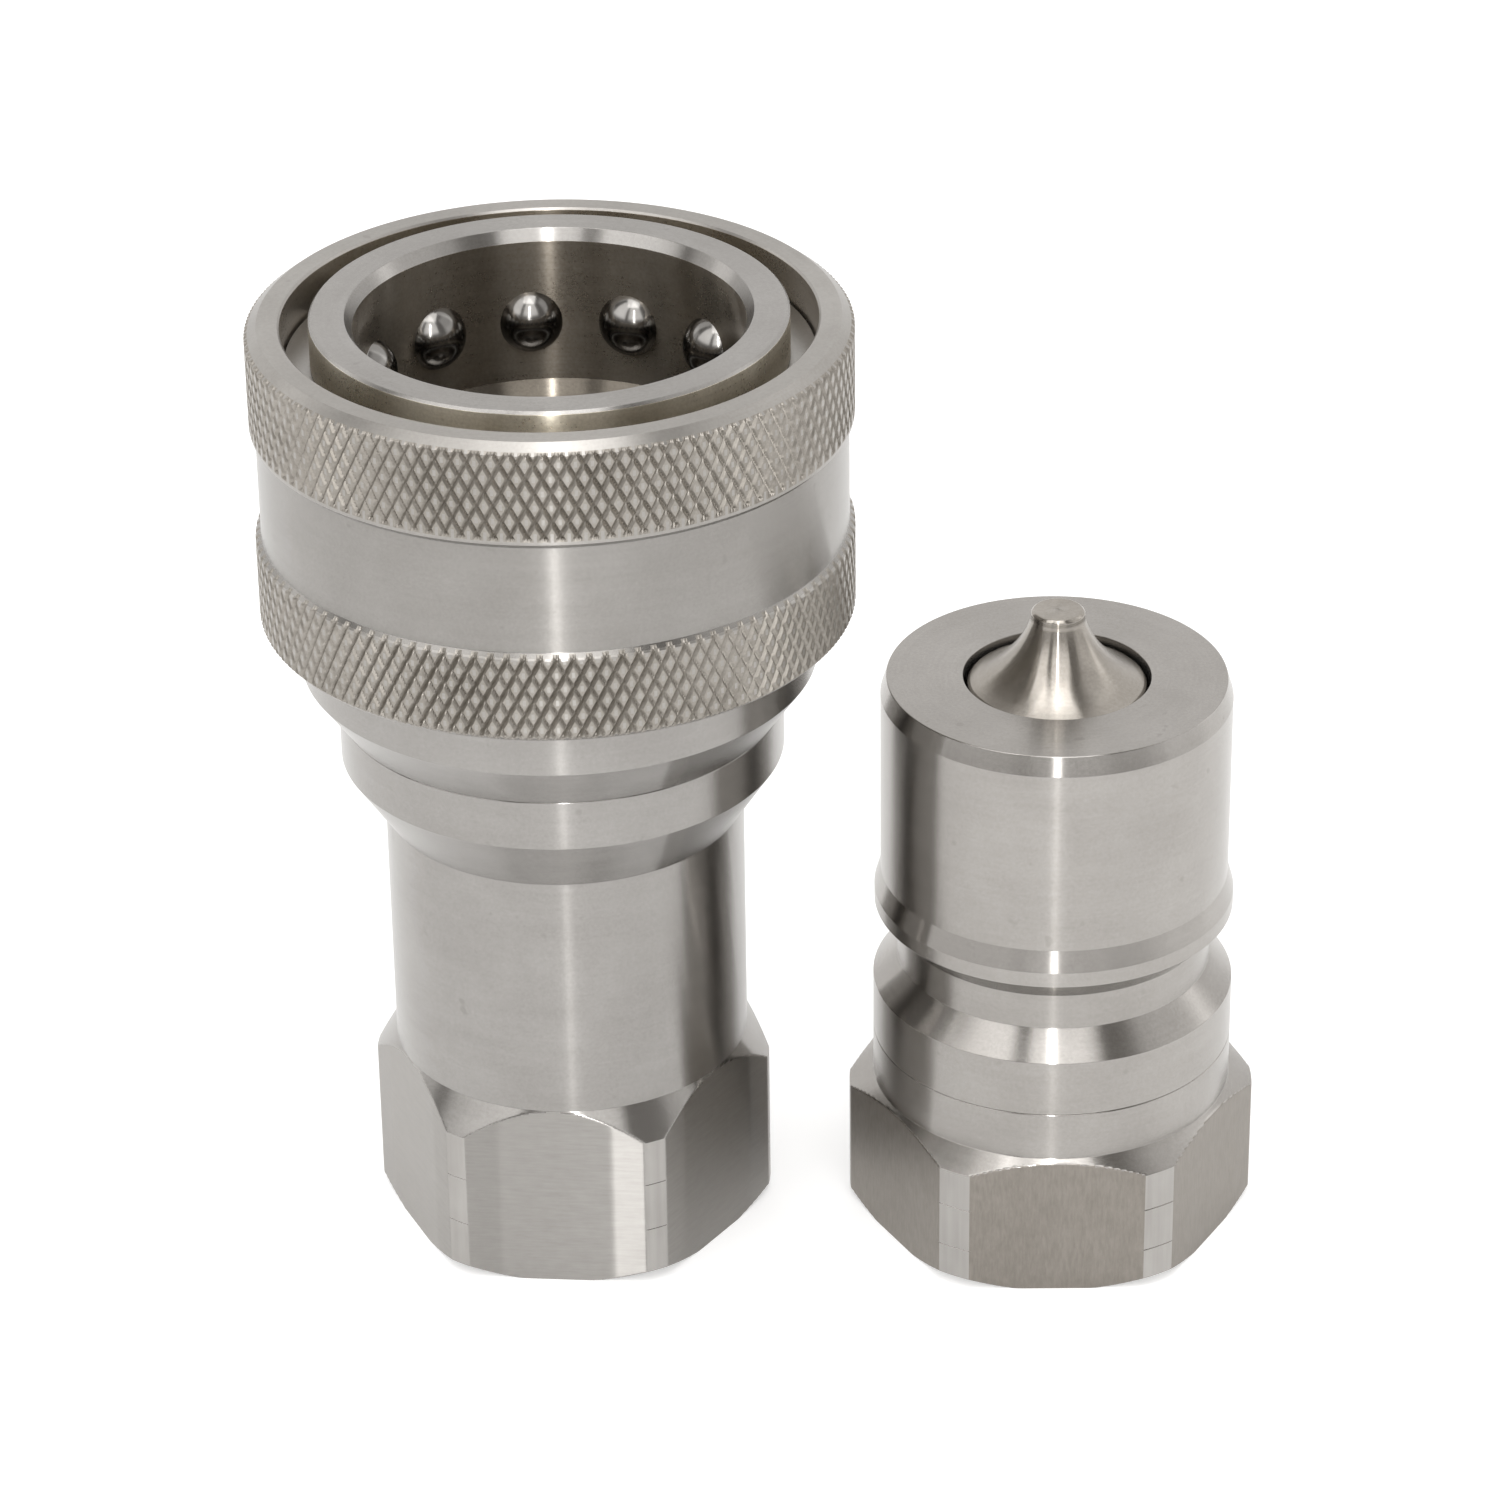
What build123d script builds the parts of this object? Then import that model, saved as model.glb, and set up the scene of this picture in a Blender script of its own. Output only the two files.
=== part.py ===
"""Quick disconnect coupler, 3/4 inch size, double shut-off, with its two halves uncoupled.

The socket half and the plug half stand side by side on their port faces. The frame's origin is on
the socket's axis, on the plane that both stand on, with +Z up along both axes. Millimetres.
"""
import os
from math import cos, radians, sin, sqrt

from build123d import *

os.makedirs("parts", exist_ok=True)

# ---------------------------------------------------------------- driving dimensions
NOSE_R = 15.7  # plug nose, the standard size that the socket's bores are made for
SEAL_BORE_R = 15.85  # socket bore that the nose runs in
MOUTH_R = 16.9  # socket bore at the balls and the mouth
SLEEVE_R = 26.2  # over the knurled bands
BODY_R = 20.67  # socket body inside the sleeve
CHAMBER_R = 12.2  # flow chamber round each valve
CHOKE_R = 10.4  # narrow bore under each valve guide
VALVE_HOLE_R = 8.37  # hole that each poppet closes
SCREW_GAP = 0.05  # between the screwed pieces of one half

PLUG_X = 44.03  # the plug's axis beside the socket's
PLUG_Y = -0.75

BALL_COUNT = 12
BALL_R = 3.175
BALL_Z = 80.5
BALL_RING_R = 18.19  # ball centres with the balls locked
BALL_PHASE = 9.5  # degrees from +X to the first ball

# Female pipe thread of both ports, as the plain cylinder of the thread's root
PORT_R = 13.15
PORT_DEPTH = 14.5
PORT_MOUTH_R = 13.9
CHOKE_START = 17.2

# Heights of the socket half
SOCKET_SHOULDER_Z = 25.4  # the valve guide stands on it
TAIL_Z = 43.3  # lower end of the body's screwed tail
SEAM_Z = 51.8  # the body's face on the adapter
SEAT_FLOOR_Z = 54.5  # floor of the socket, round the poppet
SHOULDER_Z = 62.5  # the sleeve spring stands on it
LAND_Z = 76.9  # underside of the sleeve's land
LEDGE_Z = 84.05  # top of the land, which meets the snap ring
MOUTH_Z = 89.3
SOCKET_TIP_Z = 61.3

# Heights of the plug half
SPIGOT_Z = 24.8  # top of the adapter's spigot, where the valve guide stands
PLUG_SEAM_Z = 18.3
NOSE_Z = 54.2
PLUG_TIP_Z = 60.7

# Springs
SPRING_WIRE = 1.4
SLEEVE_SPRING_R = 21.88
SLEEVE_SPRING_TURNS = 3.5
VALVE_SPRING_R = 6.5
VALVE_SPRING_TURNS = 5

# The poppet, as depths under its tip
TIP_R = 2.4
TIP_STRAIGHT = 0.9
FLARE_DEPTH = 7.0  # here the flared tip has run out to the poppet's rim
FLARE_CURVE_R = 10.0
TIP_EDGE = 0.25
RIM_EDGE = 0.25
POPPET_R = 8.0
NOSE_DEPTH = 9.1  # lower end of the straight nose that fills the valve hole
HEAD_R = 10.8
HEAD_DEPTH = 15.2
STEM_R = 3.0
STEM_DEPTH = 36.7
SEAL_START = 1.3  # the seal's groove, measured down the cone
SEAL_END = 3.0
SEAL_GROOVE = 1.1
SEAL_PROUD = 0.2

# The valve guide
GUIDE_R = 12.1
GUIDE_THICK = 3.0
GUIDE_RIM_R = 10.6
GUIDE_HUB_R = 7.8
GUIDE_BORE_R = 3.08

# The frames of the two halves: a half plane through the axis, and the axis
SOCKET_PLANE = Plane.XZ
SOCKET_AXIS = Axis.Z
PLUG_PLANE = Plane(origin=(PLUG_X, PLUG_Y, 0), x_dir=(1, 0, 0), z_dir=(0, -1, 0))
PLUG_AXIS = Axis((PLUG_X, PLUG_Y, 0), (0, 0, 1))


def turned_face(*points):
    """Fill a closed outline of (radius, height) points in the open sketch."""
    with BuildLine() as outline:
        Polyline(*points, close=True)
    make_face(outline.edges())


def save(piece, name):
    """Label a finished piece and write its STEP file."""
    piece.part.label = name
    export_step(piece.part, f"parts/{name}.step")


# ---------------------------------------------------------------- ports and bar ends
# Outline of the port, from the threaded bore up to the guide's bore, shared by both halves
PORT_OUTLINE = [
    (CHOKE_R, CHOKE_START),
    (PORT_R, PORT_DEPTH),
    (PORT_R, PORT_MOUTH_R - PORT_R),
    (PORT_MOUTH_R, 0),
]


def bar_outline(bar_r, base_chamfer, turned_z, mark_heights):
    """Outside of a bar end from its base chamfer to the start of the turning, with two tool marks."""
    mark_width = 0.1
    mark_depth = 0.07
    points = [(bar_r - base_chamfer, 0), (bar_r, 0.7 * base_chamfer)]
    for height in mark_heights:
        points += [(bar_r, height), (bar_r - mark_depth, height + mark_width / 2), (bar_r, height + mark_width)]
    return points + [(bar_r, turned_z)]


# ---------------------------------------------------------------- socket adapter
SOCKET_BAR_R = 18.09
SOCKET_FLAT_R = 16.14  # half the distance across the flats
SOCKET_FLAT_TURN = -3.3
BARREL_R = 16.07
COLLAR_R = 19.76
TAIL_R = 15.2  # the body's tail, screwed into the adapter

with BuildPart() as socket_adapter:
    with BuildSketch(SOCKET_PLANE):
        turned_face(
            *PORT_OUTLINE,
            *bar_outline(SOCKET_BAR_R, 1.6, 14.92, (5.6, 10.4)),
            (BARREL_R, 18.05),
            (BARREL_R, 41.5),
            (COLLAR_R, 47.2),
            (COLLAR_R, SEAM_Z),
            (TAIL_R + SCREW_GAP, SEAM_Z),
            (TAIL_R + SCREW_GAP, TAIL_Z),
            (CHAMBER_R, TAIL_Z),
            (CHAMBER_R, SOCKET_SHOULDER_Z),
            (CHOKE_R, SOCKET_SHOULDER_Z),
        )
    revolve(axis=SOCKET_AXIS)
    with BuildSketch(Plane.XY):
        Circle(SOCKET_BAR_R + 2)
        RegularPolygon(SOCKET_FLAT_R, 6, major_radius=False, rotation=SOCKET_FLAT_TURN, mode=Mode.SUBTRACT)
    extrude(amount=19, mode=Mode.SUBTRACT)
save(socket_adapter, "socket_adapter")

# ---------------------------------------------------------------- socket body
FLANGE_R = 22.8
BODY_SEAL_GROOVE_R = 13.6
MOUTH_SEAL_GROOVE_R = 18.0
MOUTH_SEAL_GROOVE = (67.4, 71.0)
LEAD_IN = (73.2, 74.9)  # cone from the mouth's bore down to the seal's
RING_GROOVE = (84.12, 85.13)
RING_GROOVE_R = 20.0
HOLE_LIP_R = 3.1  # ball hole at the bore, smaller than the ball
HOLE_R = 3.38
HOLE_TAPER_R = 17.7  # distance from the axis where the ball hole's taper ends

with BuildPart() as socket_body:
    with BuildSketch(SOCKET_PLANE):
        turned_face(
            (VALVE_HOLE_R, SEAT_FLOOR_Z),
            (SEAL_BORE_R, SEAT_FLOOR_Z),
            (SEAL_BORE_R, MOUTH_SEAL_GROOVE[0]),
            (MOUTH_SEAL_GROOVE_R, MOUTH_SEAL_GROOVE[0]),
            (MOUTH_SEAL_GROOVE_R, MOUTH_SEAL_GROOVE[1]),
            (SEAL_BORE_R, MOUTH_SEAL_GROOVE[1]),
            (SEAL_BORE_R, LEAD_IN[0]),
            (MOUTH_R, LEAD_IN[1]),
            (MOUTH_R, 88.24),
            (17.59, MOUTH_Z),
            (BODY_R - 0.25, MOUTH_Z),
            (BODY_R, MOUTH_Z - 0.25),
            (BODY_R, RING_GROOVE[1]),
            (RING_GROOVE_R, RING_GROOVE[1]),
            (RING_GROOVE_R, RING_GROOVE[0]),
            (BODY_R, RING_GROOVE[0]),
            (BODY_R, SHOULDER_Z),
            (FLANGE_R, SHOULDER_Z),
            (FLANGE_R, 56.2),
            (COLLAR_R, SEAM_Z),
            (TAIL_R, SEAM_Z),
            (TAIL_R, 48.6),
            (BODY_SEAL_GROOVE_R, 48.6),
            (BODY_SEAL_GROOVE_R, 46.4),
            (TAIL_R, 46.4),
            (TAIL_R, TAIL_Z),
            (CHAMBER_R, TAIL_Z),
            (CHAMBER_R, 48.5),
            (VALVE_HOLE_R, 52.33),
        )
    revolve(axis=SOCKET_AXIS)
    taper_start_r = 16.4
    taper = (HOLE_R - HOLE_LIP_R) / (HOLE_TAPER_R - MOUTH_R)
    with Locations((0, 0, BALL_Z)):
        with PolarLocations(taper_start_r, BALL_COUNT, start_angle=BALL_PHASE):
            Cone(
                bottom_radius=HOLE_LIP_R - taper * (MOUTH_R - taper_start_r),
                top_radius=HOLE_R,
                height=HOLE_TAPER_R - taper_start_r,
                rotation=(0, 90, 0),
                align=(Align.CENTER, Align.CENTER, Align.MIN),
                mode=Mode.SUBTRACT,
            )
        with PolarLocations(HOLE_TAPER_R, BALL_COUNT, start_angle=BALL_PHASE):
            Cylinder(
                radius=HOLE_R,
                height=BODY_R - HOLE_TAPER_R + 1,
                rotation=(0, 90, 0),
                align=(Align.CENTER, Align.CENTER, Align.MIN),
                mode=Mode.SUBTRACT,
            )
save(socket_body, "socket_body")

# ---------------------------------------------------------------- locking balls
for index in range(BALL_COUNT):
    turn = radians(BALL_PHASE + index * 360 / BALL_COUNT)
    with BuildPart() as ball:
        with Locations((BALL_RING_R * cos(turn), BALL_RING_R * sin(turn), BALL_Z)):
            Sphere(BALL_R)
    save(ball, f"ball_{index + 1:02d}")

# ---------------------------------------------------------------- sleeve
BAND_R = 25.7  # smooth band between the knurled ones
SKIRT_R = 23.1  # bore of the skirt, which runs on the body's flange
RECESS_R = 23.13  # bore above the land
LAND_R = 20.9  # the land that guides the sleeve on the body
LOCK_R = 21.62  # bore that holds the balls in, at the height of their centres
LOCK_SLOPE = 0.2  # the bore opens upwards, so the balls move out as the sleeve goes down

with BuildPart() as sleeve:
    with BuildSketch(SOCKET_PLANE):
        turned_face(
            (SKIRT_R, 61.5),
            (SKIRT_R + 0.3, 61.2),
            (SLEEVE_R - 0.5, 61.2),
            (SLEEVE_R, 61.7),
            (SLEEVE_R, 69.0),
            (BAND_R, 69.5),
            (BAND_R, 79.3),
            (SLEEVE_R, 79.8),
            (SLEEVE_R, 87.9),
            (25.1, 88.75),
            (RECESS_R + 0.2, 88.75),
            (RECESS_R, 88.55),
            (RECESS_R, LEDGE_Z),
            (LOCK_R + LOCK_SLOPE * (LEDGE_Z - BALL_Z), LEDGE_Z),
            (LOCK_R - LOCK_SLOPE * 1.2, BALL_Z - 1.2),
            (LAND_R, BALL_Z - 2.2),
            (LAND_R, LAND_Z),
            (SKIRT_R, LAND_Z),
        )
    revolve(axis=SOCKET_AXIS)
save(sleeve, "sleeve")

# ---------------------------------------------------------------- snap ring
RING_R = 22.9
RING_OPENING = 16  # degrees

with BuildPart() as sleeve_snap_ring:
    with BuildSketch(Plane.XY.offset(RING_GROOVE[0] + 0.03)):
        Circle(RING_R)
        Circle(RING_GROOVE_R + 0.05, mode=Mode.SUBTRACT)
        with Locations(Rotation(0, 0, 150)):
            with Locations((21.5, 0)):
                Rectangle(6, 2 * 21.5 * sin(radians(RING_OPENING / 2)), mode=Mode.SUBTRACT)
    extrude(amount=RING_GROOVE[1] - RING_GROOVE[0] - 0.06)
save(sleeve_snap_ring, "sleeve_snap_ring")


# ---------------------------------------------------------------- springs
def coil_spring(axis_x, axis_y, bottom_z, top_z, mean_r, turns):
    """Round wire wound between two seats, with a hair of room at each."""
    seat_room = 0.02
    rise = top_z - bottom_z - SPRING_WIRE - 2 * seat_room
    start = (axis_x, axis_y, bottom_z + seat_room + SPRING_WIRE / 2)
    with BuildPart() as piece:
        with BuildLine() as coil:
            Helix(pitch=rise / turns, height=rise, radius=mean_r, center=start)
        with BuildSketch(Plane(origin=coil.line @ 0, z_dir=coil.line % 0)):
            Circle(SPRING_WIRE / 2)
        sweep(path=coil.line, is_frenet=True)
    return piece


sleeve_spring = coil_spring(0, 0, SHOULDER_Z, LAND_Z, SLEEVE_SPRING_R, SLEEVE_SPRING_TURNS)
save(sleeve_spring, "sleeve_spring")


# ---------------------------------------------------------------- seals
def round_seal(plane, axis, centre_r, centre_z, section_r):
    """O-ring."""
    with BuildPart() as piece:
        with BuildSketch(plane):
            with Locations((centre_r, centre_z)):
                Circle(section_r)
        revolve(axis=axis)
    return piece


save(round_seal(SOCKET_PLANE, SOCKET_AXIS, 14.41, 47.5, 0.8), "socket_body_seal")
save(round_seal(SOCKET_PLANE, SOCKET_AXIS, 16.9, 69.86, 1.08), "socket_mouth_seal")
save(round_seal(PLUG_PLANE, PLUG_AXIS, 12.67, 20.4, 0.75), "plug_body_seal")

with BuildPart() as socket_backup_ring:
    with BuildSketch(SOCKET_PLANE):
        turned_face((15.9, 67.45), (17.95, 67.45), (17.95, 68.65), (15.9, 68.65))
    revolve(axis=SOCKET_AXIS)
save(socket_backup_ring, "socket_backup_ring")


# ---------------------------------------------------------------- valves
def cone_point(tip_z, along, out):
    """A point near the poppet's 45 degree cone: so far down the cone, and so far out of it."""
    step = 1 / sqrt(2)
    return POPPET_R + step * (along + out), tip_z - NOSE_DEPTH - step * (along - out)


def poppet(plane, axis, tip_z):
    """Valve poppet: flared tip, straight nose, cone with a seal groove, head and stem."""
    neck = (TIP_R, tip_z - TIP_STRAIGHT)
    foot = (POPPET_R - RIM_EDGE, tip_z - FLARE_DEPTH)
    with BuildPart() as piece:
        with BuildSketch(plane):
            with BuildLine() as outline:
                Polyline((0, tip_z), (TIP_R - TIP_EDGE, tip_z), (TIP_R, tip_z - TIP_EDGE), neck)
                RadiusArc(neck, foot, -FLARE_CURVE_R)
                Polyline(
                    foot,
                    (POPPET_R, tip_z - FLARE_DEPTH - RIM_EDGE),
                    (POPPET_R, tip_z - NOSE_DEPTH),
                    cone_point(tip_z, SEAL_START, 0),
                    cone_point(tip_z, SEAL_START, -SEAL_GROOVE),
                    cone_point(tip_z, SEAL_END, -SEAL_GROOVE),
                    cone_point(tip_z, SEAL_END, 0),
                    (HEAD_R, tip_z - NOSE_DEPTH - HEAD_R + POPPET_R),
                    (HEAD_R, tip_z - HEAD_DEPTH),
                    (STEM_R, tip_z - HEAD_DEPTH),
                    (STEM_R, tip_z - STEM_DEPTH),
                    (0, tip_z - STEM_DEPTH),
                    (0, tip_z),
                )
            make_face(outline.edges())
        revolve(axis=axis)
    return piece


def poppet_seal(plane, axis, tip_z):
    """Seal bonded in the groove of the poppet's cone, standing proud of it."""
    with BuildPart() as piece:
        with BuildSketch(plane):
            turned_face(
                cone_point(tip_z, SEAL_START, -SEAL_GROOVE),
                cone_point(tip_z, SEAL_START, SEAL_PROUD),
                cone_point(tip_z, SEAL_END, SEAL_PROUD),
                cone_point(tip_z, SEAL_END, -SEAL_GROOVE),
            )
        revolve(axis=axis)
    return piece


def valve_guide(axis_x, axis_y, base_z):
    """Three-legged spider that guides the stem and carries the valve's spring."""
    leg_count = 3
    leg_width = 3.2
    leg_length = GUIDE_RIM_R - GUIDE_HUB_R + 1
    with BuildPart() as piece:
        with BuildSketch(Plane((axis_x, axis_y, base_z))):
            Circle(GUIDE_R)
            Circle(GUIDE_RIM_R, mode=Mode.SUBTRACT)
            Circle(GUIDE_HUB_R)
            with PolarLocations((GUIDE_HUB_R + GUIDE_RIM_R) / 2, leg_count):
                Rectangle(leg_length, leg_width)
            Circle(GUIDE_BORE_R, mode=Mode.SUBTRACT)
        extrude(amount=GUIDE_THICK)
    return piece


save(poppet(SOCKET_PLANE, SOCKET_AXIS, SOCKET_TIP_Z), "socket_valve")
save(poppet(PLUG_PLANE, PLUG_AXIS, PLUG_TIP_Z), "plug_valve")

save(poppet_seal(SOCKET_PLANE, SOCKET_AXIS, SOCKET_TIP_Z), "socket_valve_seal")
save(poppet_seal(PLUG_PLANE, PLUG_AXIS, PLUG_TIP_Z), "plug_valve_seal")

save(valve_guide(0, 0, SOCKET_SHOULDER_Z), "socket_valve_guide")
save(valve_guide(PLUG_X, PLUG_Y, SPIGOT_Z), "plug_valve_guide")

save(
    coil_spring(
        0, 0, SOCKET_SHOULDER_Z + GUIDE_THICK, SOCKET_TIP_Z - HEAD_DEPTH, VALVE_SPRING_R, VALVE_SPRING_TURNS
    ),
    "socket_valve_spring",
)
save(
    coil_spring(
        PLUG_X, PLUG_Y, SPIGOT_Z + GUIDE_THICK, PLUG_TIP_Z - HEAD_DEPTH, VALVE_SPRING_R, VALVE_SPRING_TURNS
    ),
    "plug_valve_spring",
)

# ---------------------------------------------------------------- plug adapter
PLUG_BAR_R = 18.56
PLUG_FLAT_R = 16.8
PLUG_FLAT_TURN = 0.7
PLUG_COLLAR_R = 16.35
SPIGOT_R = 13.4
PLUG_SEAL_GROOVE_R = 11.9

with BuildPart() as plug_adapter:
    with BuildSketch(PLUG_PLANE):
        turned_face(
            *PORT_OUTLINE,
            *bar_outline(PLUG_BAR_R, 1.4, 12.1, (4.0, 8.3)),
            (PLUG_COLLAR_R, 13.7),
            (PLUG_COLLAR_R, PLUG_SEAM_Z),
            (SPIGOT_R, PLUG_SEAM_Z),
            (SPIGOT_R, 19.4),
            (PLUG_SEAL_GROOVE_R, 19.4),
            (PLUG_SEAL_GROOVE_R, 21.4),
            (SPIGOT_R, 21.4),
            (SPIGOT_R, SPIGOT_Z),
            (CHOKE_R, SPIGOT_Z),
        )
    revolve(axis=PLUG_AXIS)
    with BuildSketch(Plane((PLUG_X, PLUG_Y, 0))):
        Circle(PLUG_BAR_R + 2)
        RegularPolygon(PLUG_FLAT_R, 6, major_radius=False, rotation=PLUG_FLAT_TURN, mode=Mode.SUBTRACT)
    extrude(amount=14.5, mode=Mode.SUBTRACT)
save(plug_adapter, "plug_adapter")

# ---------------------------------------------------------------- plug body
GROOVE_R = 14.2  # locking groove that the balls drop into
LIP_R = 16.25

with BuildPart() as plug_body:
    with BuildSketch(PLUG_PLANE):
        turned_face(
            (VALVE_HOLE_R, NOSE_Z),
            (15.17, NOSE_Z),
            (NOSE_R, 52.44),
            (NOSE_R, 35.0),
            (LIP_R, 33.0),
            (LIP_R, 31.6),
            (GROOVE_R, 29.5),
            (GROOVE_R, 26.1),
            (PLUG_COLLAR_R, 23.7),
            (PLUG_COLLAR_R, PLUG_SEAM_Z),
            (SPIGOT_R + SCREW_GAP, PLUG_SEAM_Z),
            (SPIGOT_R + SCREW_GAP, 25.0),
            (CHAMBER_R, 25.0),
            (CHAMBER_R, 47.9),
            (VALVE_HOLE_R, 51.73),
        )
    revolve(axis=PLUG_AXIS)
save(plug_body, "plug_body")
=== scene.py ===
"""The visual model of the quick disconnect coupler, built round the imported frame."""
import math

import bmesh
import bpy
import numpy as np
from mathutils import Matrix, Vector


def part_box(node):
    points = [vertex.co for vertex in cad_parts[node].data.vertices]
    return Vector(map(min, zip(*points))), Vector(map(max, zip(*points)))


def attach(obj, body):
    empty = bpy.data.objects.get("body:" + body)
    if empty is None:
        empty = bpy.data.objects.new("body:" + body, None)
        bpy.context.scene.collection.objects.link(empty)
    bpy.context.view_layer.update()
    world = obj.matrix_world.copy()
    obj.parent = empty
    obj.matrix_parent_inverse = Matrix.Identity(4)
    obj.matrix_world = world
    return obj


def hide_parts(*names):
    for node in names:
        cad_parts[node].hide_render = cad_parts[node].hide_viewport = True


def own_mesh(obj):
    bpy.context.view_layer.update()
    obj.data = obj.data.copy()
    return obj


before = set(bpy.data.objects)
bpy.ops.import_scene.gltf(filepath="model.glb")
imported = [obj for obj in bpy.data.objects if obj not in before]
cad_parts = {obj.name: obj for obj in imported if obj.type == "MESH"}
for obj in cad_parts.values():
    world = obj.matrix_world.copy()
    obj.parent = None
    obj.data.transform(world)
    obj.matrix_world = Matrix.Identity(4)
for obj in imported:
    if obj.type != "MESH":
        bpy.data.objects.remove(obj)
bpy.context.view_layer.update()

MM = 0.001


# ---------------------------------------------------------------- places read from the frame
def centre_of(node):
    """Middle of a CAD node's box."""
    low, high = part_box(node)
    return (low + high) / 2


SOCKET_AXIS = Vector((0, 0, 0))
PLUG_AXIS = Vector((centre_of("plug_body").x, centre_of("plug_body").y, 0))
BALLS = sorted(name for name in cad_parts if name.startswith("ball_"))
BALL_R = (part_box(BALLS[0])[1].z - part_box(BALLS[0])[0].z) / 2
SLEEVE_LOW, SLEEVE_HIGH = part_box("sleeve")
SLEEVE_R = SLEEVE_HIGH.x


# ---------------------------------------------------------------- outlines of turned parts
def section_edges(node, axis, azimuth):
    """Edges, as pairs of (radius, height), where a half plane through the axis cuts a CAD node."""
    outward = Vector((math.cos(azimuth), math.sin(azimuth), 0))
    across = Vector((-math.sin(azimuth), math.cos(azimuth), 0))
    mesh = bmesh.new()
    mesh.from_mesh(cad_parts[node].data)
    bmesh.ops.remove_doubles(mesh, verts=mesh.verts, dist=0.0001 * MM)
    everything = [*mesh.verts, *mesh.edges, *mesh.faces]
    cut = bmesh.ops.bisect_plane(mesh, geom=everything, plane_co=axis, plane_no=across, dist=1e-8)
    pairs = []
    for item in cut["geom_cut"]:
        if isinstance(item, bmesh.types.BMEdge):
            near, far = sorted(((v.co - axis).dot(outward), v.co.z) for v in item.verts)
            if far[0] < 0.001 * MM:
                continue
            if near[0] < 0:
                share = near[0] / (near[0] - far[0])
                near = (0, near[1] + (far[1] - near[1]) * share)
            pairs.append([(round(r, 7), round(z, 7)) for r, z in (near, far)])
    mesh.free()
    return pairs


def chained(pairs):
    """Put section edges in order round the outline, starting at an open end if it has one."""
    neighbours = {}
    for a, b in pairs:
        neighbours.setdefault(a, []).append(b)
        neighbours.setdefault(b, []).append(a)
    ends = [point for point, near in neighbours.items() if len(near) == 1]
    point = ends[0] if ends else next(iter(neighbours))
    order = [point]
    seen = {point}
    while True:
        onward = [p for p in neighbours[point] if p not in seen]
        if not onward:
            return order
        point = onward[0]
        order.append(point)
        seen.add(point)


def without_inline(points, tolerance):
    """Drop the points of a closed outline that lie on the line between their neighbours."""
    kept = list(points)
    changed = True
    while changed:
        changed = False
        for i in range(len(kept) - 1, -1, -1):
            before, here, after = kept[i - 1], kept[i], kept[(i + 1) % len(kept)]
            dx, dy = after[0] - before[0], after[1] - before[1]
            length = math.hypot(dx, dy)
            off = abs(dx * (here[1] - before[1]) - dy * (here[0] - before[0])) / max(length, 1e-12)
            if off < tolerance:
                kept.pop(i)
                changed = True
    return kept


def outline_of(node, axis, azimuth=math.radians(37)):
    """A turned CAD node's closed outline, anticlockwise, as (radius, height) points."""
    points = without_inline(chained(section_edges(node, axis, azimuth)), 0.003 * MM)
    area = sum(a[0] * b[1] - b[0] * a[1] for a, b in zip(points, points[1:] + points[:1]))
    return points if area > 0 else points[::-1]


def softened(points, radius, steps=4, hollow=1.0):
    """Round an outline's corners, the hollow ones with so many times the radius.

    Gives rows of (radius, height, normal's radius part, normal's height part)."""
    rows = []
    count = len(points)
    for i, here in enumerate(points):
        p = Vector(here)
        back = Vector(points[i - 1]) - p
        on = Vector(points[(i + 1) % count]) - p
        normal_in = Vector((-back.y, back.x)).normalized()
        normal_out = Vector((on.y, -on.x)).normalized()
        turn = math.acos(max(-1, min(1, normal_in.dot(normal_out))))
        if p.x < 0.01 * MM or turn < math.radians(14):
            mean = (normal_in + normal_out).normalized()
            rows.append((p.x, p.y, mean.x, mean.y))
            continue
        here_radius = radius * (hollow if normal_in.cross(normal_out) < 0 else 1)
        trim = min(here_radius * math.tan(turn / 2), 0.45 * back.length, 0.45 * on.length)
        start = p + back.normalized() * trim
        end = p + on.normalized() * trim
        for step in range(steps + 1):
            t = step / steps
            bent = start.lerp(p, t).lerp(p.lerp(end, t), t)
            normal = normal_in.slerp(normal_out, t)
            rows.append((bent.x, bent.y, normal.x, normal.y))
    return rows


def refined(rows, low, high, step, inner_r):
    """Add rows to the outer stretches between two heights, so that they can take a finer shape."""
    fine = []
    for a, b in zip(rows, rows[1:] + rows[:1]):
        fine.append(a)
        inside = min(a[0], b[0]) > inner_r and max(a[1], b[1]) > low and min(a[1], b[1]) < high
        parts = int(abs(b[1] - a[1]) / step) if inside else 0
        for k in range(1, parts):
            t = k / parts
            height = a[1] + (b[1] - a[1]) * t
            if low < height < high:
                fine.append(tuple(a[m] + (b[m] - a[m]) * t for m in range(4)))
    return fine


# ---------------------------------------------------------------- meshes
def piece_from(name, verts, faces, normals=None):
    """A smooth-shaded object from plain lists, with its vertex normals if they are known."""
    mesh = bpy.data.meshes.new(name)
    mesh.from_pydata(verts, [], faces)
    mesh.polygons.foreach_set("use_smooth", [True] * len(mesh.polygons))
    mesh.update()
    if normals is not None:
        mesh.normals_split_custom_set_from_vertices(normals)
    piece = bpy.data.objects.new(name, mesh)
    bpy.context.scene.collection.objects.link(piece)
    return piece


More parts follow.
